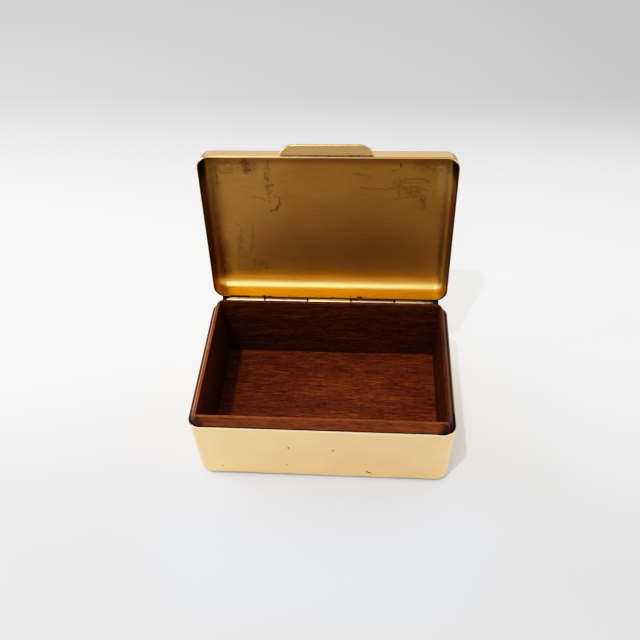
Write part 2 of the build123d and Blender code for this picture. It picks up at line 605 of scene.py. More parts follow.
@dataclass(frozen=True)
class LidBrass:
    """The lid's brass: polished outside, and inside brushed, deeper in colour and tarnished.

    Its marks are placed on the closed lid, seen from the hinge, as X and Y. Turning the surface point by the
    closing angle about the hinge axis gives that place.
    """

    name: str
    outline: Outline
    axis_point: Triple
    closing_angle: float
    middle: Triple
    rim_height: float
    plate_height: float
    marks: tuple[Stroke, ...]
    clouds: tuple[Stroke, ...]
    blots: tuple[Stroke, ...]

    def material(self) -> bpy.types.Material:
        """Make the material.

        Returns:
            The finished material.
        """
        material, graph = material_graph(self.name)
        point = graph.point()
        inside = self._inside(graph, point)
        turn = {"Vector": point, "Center": self.axis_point, "Axis": (1.0, 0.0, 0.0), "Angle": self.closing_angle}
        closed = graph.node("VectorRotate", {"rotation_type": "AXIS_ANGLE"}, turn)
        brushed = graph.noise(closed, (16.0, 0.22, 0.22), 3.0, 0.7)
        haze = graph.noise(closed, (34.0, 34.0, 34.0), 3.0, 0.55)
        plate = graph.step(graph.parts(closed)[2], self.plate_height - 2.2, self.plate_height - 0.1)
        outer = graph.blend(graph.step(haze, 0.35, 0.75), Shade.LID_GOLD.value, Shade.LID_HAZE.value)
        inner = self._inner_colour(graph, closed, brushed, haze, plate)
        colour = graph.blend(inside, outer, inner)
        patina = self._patina(graph, closed) * inside
        colour = graph.blend(patina, colour, Shade.PATINA_AND_SHADE.value)
        tarnish = self._tarnish(graph, closed) * inside
        colour = graph.blend(tarnish, colour, Shade.TARNISH.value)
        rim = self._rim_line(graph, closed)
        colour = graph.blend(rim * 0.9, colour, Shade.RIM_LINE.value)
        outer_rough = graph.step(haze, 0.3, 0.8, 0.13, 0.2)
        inner_rough = 0.44 + brushed * 0.08 + tarnish * 0.25
        rough = outer_rough * (1.0 - inside) + inner_rough * inside + rim * 0.2
        relief = graph.bump(haze + brushed * 0.02 * inside, 0.08)
        graph.surface({"Base Color": colour, "Metallic": 1.0, "Roughness": rough, "Normal": relief})
        return material

    def _inside(self, graph: Graph, point: Signal) -> Signal:
        """Tell the lid's inside from its outside.

        Args:
            graph: the graph to add to.
            point: the surface point, in millimetres.

        Returns:
            1 where the surface faces the lid's hollow, and 0 where it faces out.
        """
        inward = graph.vector("SUBTRACT", self.middle, point)
        facing = graph.node("TexCoord", output="Normal")
        return graph.step(graph.vector("DOT_PRODUCT", inward, facing, output="Value"), 0.0, 0.5)

    def _rim_line(self, graph: Graph, closed: Signal) -> Signal:
        """Find the rim's dull edge, which is faint at the back and stops short of the front.

        Args:
            graph: the graph to add to.
            closed: the surface point on the closed lid, in millimetres.

        Returns:
            The mask of the edge.
        """
        _, y, z = graph.parts(closed)
        low = graph.step(z, self.rim_height + 0.6, self.rim_height + 0.3)
        along = graph.step(y, -50.5, -47.0) * graph.step(y, 50.5, 46.5, 0.6, 1.0)
        return low * along * graph.step(self.outline.beyond(graph, closed), -0.25, -0.6, 0.65, 1.0)

    def _inner_colour(self, graph: Graph, closed: Signal, brushed: Signal, haze: Signal, plate: Signal) -> Signal:
        """Colour the brushed inside: gold on its walls and edge round, and unevenly browned on its plate.

        Next to the edge round the plate has a painted glow.

        The right wall is cooler than the rest, and painted shade makes the plate darkest in the recess behind the
        front wall.

        Args:
            graph: the graph to add to.
            closed: the surface point on the closed lid, in millimetres.
            brushed: the brush marks, from 0 to 1.
            haze: the soft haze, from 0 to 1.
            plate: the mask of the lid's flat plate.

        Returns:
            The inside's colour before its patina and tarnish.
        """
        browned = graph.noise(closed, (60.0, 30.0, 30.0), 2.0, 0.6)
        x, y, z = graph.parts(closed)
        across = graph.step(x + browned * 40.0, -50.0, 60.0)
        brown = graph.blend(across, Shade.BROWN_LEFT.value, Shade.BROWN_RIGHT.value)
        brown = graph.blend(graph.step(y + browned * 12.0, 18.0, 54.0), brown, Shade.BROWN_BACK.value)
        # painted highlight: the plate lighter and golder next to the edge round, where the light glows on it
        brown = graph.blend(graph.step(y + browned * 3.0, 41.5, 48.0), brown, Shade.PAINTED_GLOW.value)
        low = graph.step(z, self.plate_height - 2.2, self.plate_height - 5.6) * graph.step(y, 40.0, 46.0)
        gold = graph.blend(low, Shade.ROUND_GOLD.value, Shade.WALL_GOLD.value)
        colour = graph.blend(plate, gold, brown)
        wall = graph.step(x, 73.2, 75.4) * graph.step(y, -22.0, 32.0) * graph.step(y, 49.0, 44.0)
        colour = graph.tint(wall, colour, Cast.LID_WALL.value)
        edge_round = graph.step(x, 67.0, 70.5) * graph.step(y, -12.0, -30.0) * graph.step(y, -45.0, -38.0)
        colour = graph.tint(edge_round, colour, Cast.LID_ROUND.value)
        # painted shade: the plate darkened in the recess under the front wall, where the wall shades it
        painted_recess_shade = graph.step(y + browned * 3.0, -37.5, -42.0) * 0.5
        colour = graph.tint(painted_recess_shade, colour, Cast.LID_PAINTED_SHADE.value)
        colour = graph.tint(graph.step(brushed, 0.3, 0.75), colour, Cast.BRUSHED.value)
        return graph.tint(graph.step(haze, 0.4, 0.8), colour, Cast.HAZY.value)

    def _patina(self, graph: Graph, closed: Signal) -> Signal:
        """Find the brown patina on the inner walls at the front and sides.

        Args:
            graph: the graph to add to.
            closed: the surface point on the closed lid, in millimetres.

        Returns:
            The mask of the patina.
        """
        x, y, _ = graph.parts(closed)
        cloud = graph.noise(closed, (3.0, 6.0, 3.0), 2.0, 0.6)
        left = graph.step(cloud * 5.0 - x, 70.0, 81.0) * graph.step(y, 49.0, 38.0, 0.25, 0.75)
        right = graph.step(x + cloud * 4.0, 73.5, 80.0) * 0.65
        wall = graph.step(self.outline.beyond(graph, closed) + cloud * 1.4, -2.8, -0.4)
        return left | right | wall * graph.step(y, 48.0, 40.0) * 0.7

    def _tarnish(self, graph: Graph, closed: Signal) -> Signal:
        """Find the dark strokes, smudges and specks inside the lid, and its dark front corners.

        Args:
            graph: the graph to add to.
            closed: the surface point on the closed lid, in millimetres.

        Returns:
            The mask of the tarnish.
        """
        shrunk = graph.vector("DIVIDE", closed, (3.5, 3.5, 3.5))
        warp = graph.node("TexNoise", None, {"Vector": shrunk, "Scale": 1.0, "Detail": 3.0}, "Color")
        wobble = graph.vector("MULTIPLY", graph.vector("SUBTRACT", warp, (0.5, 0.5, 0.5)), (2.4, 2.4, 0.0))
        flat = graph.vector("MULTIPLY", graph.vector("ADD", closed, wobble), (1.0, 1.0, 0.0))
        ragged = graph.noise(closed, (0.8, 0.8, 0.8), 2.0, 0.7)
        lines = strongest(graph, flat, self.marks) * graph.step(ragged, 0.36, 0.66, 0.2, 0.8)
        patches = strongest(graph, flat, self.clouds)
        dots = graph.specks(closed, 1.3, 0.34) * graph.step(patches, 0.15, 0.7) * 0.35
        crumbs = graph.specks(closed, 6.5, 0.06) * 0.5
        smudge = graph.noise(closed, (2.4, 2.4, 2.4), 4.0, 0.75)
        smudges = patches * graph.step(smudge, 0.36, 0.64) * 0.6
        blots = strongest(graph, closed, self.blots) * graph.step(ragged, 0.3, 0.5)
        x, y, _ = graph.parts(closed)
        spread = graph.step(x, -60.0, 60.0, 0.9, 2.6)
        corners = graph.step(self.outline.beyond(graph, closed) + ragged * spread, -3.0, -1.0)
        corners = corners * graph.step(x.math("ABSOLUTE") - y, 106.0, 118.0) * 0.85
        return lines | dots | crumbs | smudges | blots | corners


@dataclass(frozen=True)
class HingeBrass:
    """Drawn hinge brass, bright on the barrels and dark where oil and dust have dried.

    The knuckles meet at every whole pitch from the hinge's ends, and are dark there. Painted shade darkens the
    crevice above and behind the axis, from the distance crevice_shade on, where the open lid meets the knuckles.
    The right end is dull.
    """

    name: str
    colour: Triple
    ends: float
    pitch: float
    axis_y: float
    axis_z: float
    crevice_shade: float

    def material(self) -> bpy.types.Material:
        """Make the material.

        Returns:
            The finished material.
        """
        material, graph = material_graph(self.name)
        point = graph.point()
        x, y, z = graph.parts(point)
        drawn = graph.noise(point, (22.0, 0.3, 0.3), 2.0, 0.6)
        wear_and_rim_highlight = graph.noise(point, (2.4, 1.2, 1.2), 3.0, 0.65)
        near_end = graph.step(x.math("ABSOLUTE"), self.ends - 9.0, self.ends)
        place = ((x + self.ends) / self.pitch).math("FRACT")
        gap = graph.step((place - 0.5).math("ABSOLUTE"), 0.5 - 0.9 / self.pitch, 0.5 - 0.3 / self.pitch)
        back, up = y - self.axis_y, z - self.axis_z
        # painted shade: the crevice above and behind the axis, where the open lid shades the knuckles, darkened
        # like the oil
        crevice_shade = graph.step(back + wear_and_rim_highlight * 0.6, self.crevice_shade, self.crevice_shade + 0.7) * graph.step(up, -0.3, 0.4)
        near_axis = graph.step((back * back + up * up).math("SQRT"), 3.0, 2.3)
        oil_and_shade = (graph.step(near_end * 0.45 + wear_and_rim_highlight, 0.62, 0.86) | gap | crevice_shade) * near_axis
        colour = graph.tint(graph.step(drawn, 0.3, 0.8), self.colour, Cast.DRAWN.value)
        dull = graph.step(x, self.ends - 19.0, self.ends - 8.0) * graph.step(wear_and_rim_highlight, 0.35, 0.55) * near_axis
        colour = graph.blend(dull * 0.8, colour, Shade.HINGE_DULL.value)
        colour = graph.blend(oil_and_shade, colour, Shade.HINGE_OIL_AND_SHADE.value)
        rough = 0.30 + drawn * 0.10 + oil_and_shade * 0.3
        relief = graph.bump(drawn, 0.01)
        graph.surface({"Base Color": colour, "Metallic": 1.0, "Roughness": rough, "Normal": relief})
        return material


@dataclass(frozen=True)
class PinSteel:
    """Dull drawn steel wire."""

    name: str

    def material(self) -> bpy.types.Material:
        """Make the material.

        Returns:
            The finished material.
        """
        material, graph = material_graph(self.name)
        point = graph.point()
        stain_and_corner_shade = graph.noise(point, (1.1, 0.6, 0.6), 3.0, 0.6)
        colour = graph.blend(graph.step(stain_and_corner_shade, 0.35, 0.7), Shade.STEEL.value, Shade.STEEL_STAIN.value)
        rough = 0.32 + stain_and_corner_shade * 0.2
        relief = graph.bump(stain_and_corner_shade, 0.01)
        graph.surface({"Base Color": colour, "Metallic": 1.0, "Roughness": rough, "Normal": relief})
        return material


@dataclass(frozen=True)
class SoftSolder:
    """Tin solder, grey and a little lumpy."""

    name: str
    colour: Triple = Shade.TIN.value

    def material(self) -> bpy.types.Material:
        """Make the material.

        Returns:
            The finished material.
        """
        material, graph = material_graph(self.name)
        point = graph.point()
        lumps = graph.noise(point, (2.6, 0.8, 0.8), 3.0, 0.6)
        colour = graph.tint(graph.step(lumps, 0.35, 0.7), self.colour, Cast.LUMPY.value)
        rough = 0.34 + lumps * 0.2
        relief = graph.bump(lumps, 0.05)
        graph.surface({"Base Color": colour, "Metallic": 1.0, "Roughness": rough, "Normal": relief})
        return material


@dataclass(frozen=True)
class BoardLook:
    """What sets one board's wood apart from the others'.

    The tones scale the wood's colour on the board's top and below it, as painted light and shade, lighter or darker
    as the light falls on each face. The painted shares say how strong the painted highlight along the inner edge of
    its top and the painted sheen on its outer bevel are.
    """

    grain: Grain
    top_tone: float
    inner_tone: float
    contrast: float = 0.75
    edge_painted_highlight: float = 0.0
    bevel_painted_sheen: float = 0.0
    sheen: float = 0.3
    flecks: tuple[Stroke, ...] = ()


@dataclass(frozen=True)
class Mahogany:
    """Oiled mahogany: ribbon figure, fine fibres, open pores, grime and painted gap shade above the metal rim."""

    name: str
    look: BoardLook
    offset: Triple
    rim_height: float
    outer_half: tuple[float, float]
    thickness: float

    def material(self) -> bpy.types.Material:
        """Make the material.

        Returns:
            The finished material.
        """
        material, graph = material_graph(self.name)
        point = graph.point()
        fibre = graph.vector("ADD", point, self.offset)
        strands = graph.noise(fibre, self._sizes(13.0, 0.8), 3.0, 0.65)
        pores = graph.step(graph.noise(fibre, self._sizes(3.6, 0.5), 1.0, 0.5), 0.55, 0.66)
        colour = self._figured(graph, fibre, strands)
        colour = graph.tint(pores * self.look.contrast, colour, Cast.PORES.value)
        colour = self._painted_light(graph, point, colour)
        colour = self._soiled_and_shaded(graph, point, colour)
        rough = 0.42 + strands * 0.12 + pores * 0.2
        relief = graph.bump(strands * 0.35 + (1.0 - pores), 0.035)
        graph.surface({"Base Color": colour, "Roughness": rough, "Normal": relief,
                       "Specular IOR Level": self.look.sheen})
        return material

    def _sizes(self, along: float, across: float) -> Triple:
        """A noise size that is long along the fibres and short across them."""
        run_x, run_y = self.look.grain.value
        return (along * run_x + across * run_y, along * run_y + across * run_x, across)

    def _figured(self, graph: Graph, fibre: Signal, strands: Signal) -> Signal:
        """Colour the clean wood by its figure, strands and mottle.

        Args:
            graph: the graph to add to.
            fibre: where the grain is read, in millimetres.
            strands: the strands, from 0 to 1.

        Returns:
            The colour.
        """
        figure = graph.noise(fibre, self._sizes(46.0, 5.5), 2.0, 0.5)
        mottle = graph.noise(fibre, self._sizes(6.0, 0.55), 2.0, 0.6)
        tone = figure * 0.2 + strands * 0.5 + mottle * 0.30
        tone = (tone - 0.5) * self.look.contrast + 0.5
        woods = (Timber.DARK, Timber.DEEP, Timber.RED, Timber.LIGHT)
        stops = tuple(zip((0.36, 0.46, 0.53, 0.63), (wood.value for wood in woods)))
        return graph.node("ValToRGB", {"stops": stops}, {0: tone})

    def _outer_faces(self, graph: Graph, point: Signal) -> tuple[Signal, Signal]:
        """Find the lining's outer faces and bevels.

        Args:
            graph: the graph to add to.
            point: the surface point, in millimetres.

        Returns:
            The mask of its left and right faces, and that of its front and back ones.
        """
        x, y, _ = graph.parts(point)
        half_x, half_y = self.outer_half
        sides = graph.step(x.math("ABSOLUTE"), half_x - 3.2, half_x - 2.6)
        return sides, graph.step(y.math("ABSOLUTE"), half_y - 3.2, half_y - 2.6)

    def _painted_light(self, graph: Graph, point: Signal, colour: Signal) -> Signal:
        """Paint light and shade on the top and the inner side, a highlight on the top's inner edge and a sheen
        on the bevel.

        Args:
            graph: the graph to add to.
            point: the surface point, in millimetres.
            colour: the colour so far.

        Returns:
            The new colour.
        """
        x, y, z = graph.parts(point)
        rim, look = self.rim_height, self.look
        # painted shade: the top and the inner side scaled to their own tones
        shade = graph.step(z, rim + 5.4, rim + 6.3, look.inner_tone, look.top_tone)
        colour = graph.scaled(colour, shade)
        across, half = (x, self.outer_half[0]) if look.grain is Grain.ALONG_Y else (y, self.outer_half[1])
        inner_half = half - self.thickness
        edge = graph.step(across.math("ABSOLUTE"), inner_half + 0.9, inner_half + 0.4)
        edge = edge * graph.step(z, rim + 5.7, rim + 6.2)
        # painted highlight along the top's inner edge
        colour = graph.blend(edge * look.edge_painted_highlight, colour, Timber.PAINTED_SHEEN.value)
        sides, ends = self._outer_faces(graph, point)
        bevel = (sides | ends) * graph.step(z, rim + 0.8, rim + 1.6)
        # painted sheen on the outer bevel
        return graph.blend(bevel * look.bevel_painted_sheen, colour, Timber.PAINTED_SHEEN.value)

    def _soiled_and_shaded(self, graph: Graph, point: Signal, colour: Signal) -> Signal:
        """Lay the grime and painted gap shade above the metal rim, the painted shade at the corners and the flecks.

        Args:
            graph: the graph to add to.
            point: the surface point, in millimetres.
            colour: the colour so far.

        Returns:
            The new colour.
        """
        x, y, z = graph.parts(point)
        half_x, half_y = self.outer_half
        ragged = graph.noise(point, (3.0, 3.0, 0.8), 3.0, 0.65)
        sides, ends = self._outer_faces(graph, point)
        # grime, with painted shade of the gap, on the wood just above the metal rim
        low = graph.step(z + ragged * 0.8, self.rim_height + 0.9, self.rim_height + 0.4)
        colour = graph.blend(low * (ends | sides * 0.3) * 0.85, colour, Timber.GRIME_AND_GAP_SHADE.value)
        # painted shade: the rounded outer corners darkened where they turn away from the light
        corner = x.math("ABSOLUTE") - half_x + y.math("ABSOLUTE") - half_y + ragged * 3.0
        stain_and_corner_shade = graph.step(corner, -10.0, -4.5) * (sides | ends)
        colour = graph.blend(stain_and_corner_shade * 0.85, colour, Timber.CORNER_SHADE.value)
        if self.look.flecks:
            colour = graph.blend(strongest(graph, point, self.look.flecks), colour, Timber.FLECK.value)
        return colour


@dataclass
class SolderBead:
    """A concave fillet of solder that runs along X in the corner of two surfaces, in millimetres.

    The corner lies at (corner_y, corner_z). The bead reaches leg_y along Y and leg_z along Z from it, each
    with its sign. Over its last end_run it thins out to end_share.
    """

    name: str
    half_length: float
    corner_y: float
    corner_z: float
    leg_y: float
    leg_z: float
    seed: int
    arc_points: int = 5
    cuts: int = 70
    lumpiness: float = 0.22
    ripple: float = 3.0
    end_run: float = 1.5
    end_share: float = 0.25

    def mesh(self, turn: Matrix) -> bpy.types.Object:
        """Build the bead and turn it to its place.

        Args:
            turn: the move from the closed box's frame to where the bead rests.

        Returns:
            The finished object.
        """
        work = bmesh.new()
        section = work.faces.new([work.verts.new(corner) for corner in self._section()])
        grown = bmesh.ops.extrude_face_region(work, geom=[section])
        far = [v for v in grown["geom"] if isinstance(v, bmesh.types.BMVert)]
        bmesh.ops.translate(work, verts=far, vec=(2 * self.half_length, 0.0, 0.0))
        along = [e for e in work.edges if abs(e.verts[0].co.x - e.verts[1].co.x) > self.half_length]
        bmesh.ops.subdivide_edges(work, edges=along, cuts=self.cuts)
        for vert in work.verts:
            self._ripple(vert)
        bmesh.ops.recalc_face_normals(work, faces=work.faces)
        bmesh.ops.transform(work, matrix=turn @ Matrix.Scale(MM, 4), verts=work.verts)
        mesh = bpy.data.meshes.new(self.name)
        work.to_mesh(mesh)
        work.free()
        mesh.shade_smooth()
        piece = bpy.data.objects.new(self.name, mesh)
        bpy.context.scene.collection.objects.link(piece)
        return piece

    def _section(self) -> list[Vector]:
        """Work out the section at the near end: the corner, and the hollow arc that closes it.

        Returns:
            Its points, the corner first.
        """
        points = [Vector((-self.half_length, self.corner_y, self.corner_z))]
        for place in range(self.arc_points + 1):
            angle = math.pi / 2 * place / self.arc_points
            out = (1 - math.sin(angle), 1 - math.cos(angle))
            points.append(points[0] + Vector((0.0, self.leg_y * out[0], self.leg_z * out[1])))
        return points

    def _ripple(self, vert: bmesh.types.BMVert) -> None:
        """Make the bead fuller and thinner along its run, and thin it out at its ends.

        Args:
            vert: the corner of the mesh to move.
        """
        corner = Vector((vert.co.x, self.corner_y, self.corner_z))
        swell = noise.noise(Vector((vert.co.x / self.ripple, self.seed, 0.5)))
        to_end = self.half_length - abs(vert.co.x)
        taper = min(1.0, self.end_share + to_end / self.end_run)
        vert.co = corner + (vert.co - corner) * (1 - self.lumpiness * (0.5 + 0.5 * swell)) * taper


@dataclass(frozen=True)
class Viewpoint:
    """Where the photograph was taken from.

    The place is in metres, the angles are in degrees, and the lens and the square frame are in pixels.
    """

    place: Triple = (0.027305, -0.273659, 0.396873)
    pitch: float = 47.753
    yaw: float = 6.002
    roll: float = 3.231
    focal_pixels: float = 687.97
    frame_pixels: float = 640.0

    def matrix(self) -> Matrix:
        """Work out the camera's place and turn.

        Returns:
            The matrix from the camera's own axes to the room's.
        """
        turn = Matrix.Rotation(math.radians(self.yaw), 4, "Z")
        turn = turn @ Matrix.Rotation(math.radians(90 - self.pitch), 4, "X")
        turn = turn @ Matrix.Rotation(math.radians(-self.roll), 4, "Z")
        return Matrix.Translation(self.place) @ turn

    def meet(self, pixel: Pixel, on: Vector, facing: Vector) -> Vector:
        """Find where the line of sight through a point of the picture meets a plane.

        Args:
            pixel: the point, counted to the right and down from the picture's top left corner.
            on: a point of the plane, in metres.
            facing: the way that the plane faces.

        Returns:
            The place, in metres.
        """
        middle = self.frame_pixels / 2
        sight = self.matrix().to_3x3() @ Vector((pixel[0] - middle, middle - pixel[1], -self.focal_pixels))
        eye = Vector(self.place)
        return eye + sight * ((on - eye).dot(facing) / sight.dot(facing))


@dataclass(frozen=True)
class CloseUp:
    """A part of the photograph, enlarged to read marks in: its top left corner in pixels, and its scale."""

    left: float
    top: float
    scale: float

    def pixel(self, spot: Pixel) -> Pixel:
        """Turn a point of the close-up into a point of the picture."""
        return (self.left + spot[0] / self.scale, self.top + spot[1] / self.scale)


@dataclass(frozen=True)
class Scratch:
    """A dark mark: the bends read in a close-up, and the width and strength of each run between two bends."""

    seen_in: CloseUp
    bends: tuple[Pixel, ...]
    runs: tuple[tuple[float, float], ...]


LEFT_HALF = CloseUp(203.0, 158.0, 11.54)
RIGHT_HALF = CloseUp(350.0, 158.0, 13.89)


class LidMark(Enum):
    """The dark marks inside the lid, as they were read in two close-ups."""

    LEFT_UPRIGHT = Scratch(LEFT_HALF, ((140, 100), (150, 200), (165, 295)), ((0.8, 0.45), (0.8, 0.65)))
    CORNER_CURVE = Scratch(LEFT_HALF, ((150, 90), (200, 55), (257, 42)), ((0.8, 0.45), (0.8, 0.45)))
    CORNER_DOT = Scratch(LEFT_HALF, ((255, 42), (260, 42)), ((0.6, 0.9),))
    LEFT_CROSSBAR = Scratch(LEFT_HALF, ((190, 175), (330, 170)), ((0.8, 0.40),))
    LARGE_BLOT = Scratch(LEFT_HALF, ((480, 40), (495, 145)), ((2.6, 1.0),))
    BLOT_TAIL = Scratch(LEFT_HALF, ((516, 120), (590, 140)), ((1.5, 0.40),))
    THIN_LINE_TOP = Scratch(LEFT_HALF, ((745, 20), (750, 130)), ((0.5, 0.70),))
    THIN_LINE_FOOT = Scratch(LEFT_HALF, ((708, 170), (712, 240)), ((0.6, 0.60),))
    THIN_LINE_DOT = Scratch(LEFT_HALF, ((743, 240), (748, 240)), ((0.9, 0.80),))
    HOOK_BAR = Scratch(LEFT_HALF, ((725, 320), (800, 318)), ((1.4, 0.80),))
    HOOK_DROP = Scratch(LEFT_HALF, ((728, 320), (740, 365)), ((1.0, 0.65),))
    SHORT_UPRIGHT = Scratch(LEFT_HALF, ((765, 400), (765, 520)), ((0.6, 0.60),))
    SHALLOW_ARC = Scratch(LEFT_HALF, ((560, 455), (630, 450), (725, 490)), ((0.6, 0.50), (0.6, 0.50)))
    ROUND_HOOK = Scratch(LEFT_HALF, ((825, 440), (885, 460), (880, 540), (850, 590), (790, 610)),
                         ((0.8, 0.60), (1.0, 0.70), (1.2, 0.70), (1.2, 0.60)))
    LONG_BRANCH = Scratch(LEFT_HALF, ((380, 750), (450, 815), (440, 900), (425, 1000), (425, 1090)),
                          ((0.6, 0.45), (0.6, 0.50), (0.6, 0.50), (0.9, 0.55)))
    SIDE_BRANCH = Scratch(LEFT_HALF, ((425, 1000), (500, 1125)), ((0.6, 0.45),))
    SECOND_BRANCH = Scratch(LEFT_HALF, ((575, 790), (575, 960), (550, 1090)), ((0.6, 0.50), (0.7, 0.50)))
    LEFT_SMEAR = Scratch(LEFT_HALF, ((255, 1040), (280, 1140)), ((1.2, 0.55),))
    LOW_DOT = Scratch(LEFT_HALF, ((457, 1275), (463, 1275)), ((1.2, 0.40),))
    MIDDLE_DOT = Scratch(LEFT_HALF, ((942, 200), (949, 200)), ((0.7, 0.60),))
    UPPER_DOT = Scratch(LEFT_HALF, ((1077, 130), (1084, 130)), ((0.6, 0.40),))
    FAINT_DASH = Scratch(RIGHT_HALF, ((85, 225), (200, 240)), ((0.9, 0.50),))
    FAINT_HOOK = Scratch(RIGHT_HALF, ((245, 240), (285, 290)), ((0.7, 0.45),))
    LONG_WAVE = Scratch(RIGHT_HALF, ((150, 405), (350, 435), (560, 430), (685, 400)),
                        ((0.5, 0.45), (0.5, 0.50), (0.6, 0.55)))
    WAVE_DROP = Scratch(RIGHT_HALF, ((685, 400), (685, 540)), ((0.8, 0.40),))
    LOWER_WAVE = Scratch(RIGHT_HALF, ((620, 575), (780, 550), (930, 545)), ((0.6, 0.45), (0.6, 0.50)))
    UPPER_WAVE = Scratch(RIGHT_HALF, ((680, 320), (850, 290), (1000, 290), (1110, 330)),
                         ((0.6, 0.40), (0.7, 0.45), (0.8, 0.50)))
    CROSSING_UPRIGHT = Scratch(RIGHT_HALF, ((830, 340), (840, 480)), ((0.8, 0.40),))
    CROSSING_BAR = Scratch(RIGHT_HALF, ((730, 410), (930, 400)), ((1.0, 0.45),))
    RIGHT_SLANT = Scratch(RIGHT_HALF, ((1000, 430), (1090, 465)), ((0.6, 0.45),))
    RIGHT_BLOT = Scratch(RIGHT_HALF, ((995, 520), (990, 575), (1030, 610), (1025, 690)),
                         ((0.9, 0.70), (1.3, 0.85), (1.1, 0.60)))
    TOP_DASH = Scratch(RIGHT_HALF, ((705, 75), (715, 120)), ((0.7, 0.90),))
    TOP_RIGHT_DASH = Scratch(RIGHT_HALF, ((1040, 110), (1070, 108), (1120, 100)), ((0.8, 0.80), (0.6, 0.50)))
    TOP_SLANT = Scratch(RIGHT_HALF, ((650, 155), (590, 180)), ((0.7, 0.40),))
    RIGHT_CORNER = Scratch(RIGHT_HALF, ((1390, 180), (1430, 130)), ((2.2, 0.50),))


class BoardFleck(Enum):
    """The dark flecks on the back board: each one's point in the photograph, in pixels, and its size."""

    LEFT = ((291.0, 334.7), 1.3)
    MIDDLE = ((382.0, 330.8), 1.2)
    RIGHT = ((399.0, 331.5), 1.4)


@dataclass
class CaseBody:
    """The drawn brass case."""

    nodes: Mapping[str, bpy.types.Object]
    corner: float = 8.0
    wall: float = 1.2
    outline: Outline = field(init=False)
    height: float = field(init=False)

    def __post_init__(self) -> None:
        """Read the case's size from the frame."""
        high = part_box("case_shell")[1]
        self.outline = Outline(high.x / MM, high.y / MM, self.corner)
        self.height = high.z / MM

    def build(self) -> None:
        """Dress the case."""
        finish = PolishedBrass("case_polished_brass", specks=self._specks(), seam=self._seam())
        dress(self.nodes["case_shell"], finish.material())

    def _specks(self) -> tuple[Stroke, ...]:
        """List the tarnish specks on the front, as X and height.

        Returns:
            One stroke for each.
        """
        places = ((-19.8, 34.3, 1.0), (7.4, 32.9, 0.9), (-22.1, 14.6, 0.7), (-63.8, 10.6, 0.7), (15.9, 23.9, 0.4))
        dots = [Stroke((x, 0.0, z), (x, 0.0, z), size) for x, z, size in places]
        scratch = Stroke((28.2, 0.0, 9.4), (30.8, 0.0, 7.6), 0.8)
        return (*dots, scratch)

    def _seam(self) -> RimSeam:
        """Set out the dried polish and painted gap shade round the rim: heavier at the front corners, and most at
        the right one.

        Returns:
            The seam.
        """
        x, y, z = self.outline.half_width, self.outline.half_depth, self.height
        right_side = Stroke((x, -y + 7.0, z), (x, -y + 15.0, z), 3.5)
        right_corner = Stroke((x - 8.0, -y, z), (x - 1.0, -y + 4.0, z), 5.0, 0.7)
        left_corner = Stroke((-x + 7.0, -y, z), (-x, -y + 6.0, z), 4.0, 0.5)
        return RimSeam(self.outline, z, self.wall, (right_side, right_corner, left_corner))


@dataclass
class Lining:
    """The five mahogany boards inside the case."""

    nodes: Mapping[str, bpy.types.Object]
    rim_height: float
    view: Viewpoint
    grain_shift: Triple = (137.0, 71.0, 53.0)
    fleck_length: float = 1.0
    fleck_strength: float = 0.8

    def build(self) -> None:
        """Dress each board with its own stretch of grain."""
        inner_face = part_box("lining_back")[0].y / MM
        outer_half = (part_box("lining_right")[1].x / MM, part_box("lining_back")[1].y / MM)
        flecks = tuple(self._fleck(fleck, inner_face) for fleck in BoardFleck)
        # each look's tones are painted light and shade, and its edge and bevel shares a painted highlight and sheen
        looks = {
            "lining_floor": BoardLook(Grain.ALONG_X, 0.76, 0.76),
            "lining_front": BoardLook(Grain.ALONG_X, 0.72, 0.68, contrast=0.45, edge_painted_highlight=0.2),
            "lining_back": BoardLook(Grain.ALONG_X, 0.42, 0.50, flecks=flecks),
            "lining_left": BoardLook(Grain.ALONG_Y, 0.74, 0.5, contrast=0.5, edge_painted_highlight=0.35, bevel_painted_sheen=0.4),
            "lining_right": BoardLook(Grain.ALONG_Y, 0.34, 0.37, contrast=0.5, sheen=0.17),
        }
        thickness = outer_half[1] - inner_face
        for place, (node, look) in enumerate(looks.items()):
            offset = tuple(place * shift for shift in self.grain_shift)
            wood = Mahogany(node + "_mahogany", look, offset, self.rim_height, outer_half, thickness)
            dress(self.nodes[node], wood.material())

    def _fleck(self, fleck: BoardFleck, inner_face: float) -> Stroke:
        """Lay a fleck where the line of sight through it meets the back board's inner face.

        Args:
            fleck: the fleck.
            inner_face: the face's Y, in millimetres.

        Returns:
            The fleck as a short stroke.
        """
        pixel, size = fleck.value
        x, y, z = self.view.meet(pixel, Vector((0.0, inner_face * MM, 0.0)), Vector((0.0, 1.0, 0.0))) / MM
        return Stroke((x, y, z), (x + self.fleck_length, y, z), size, self.fleck_strength)


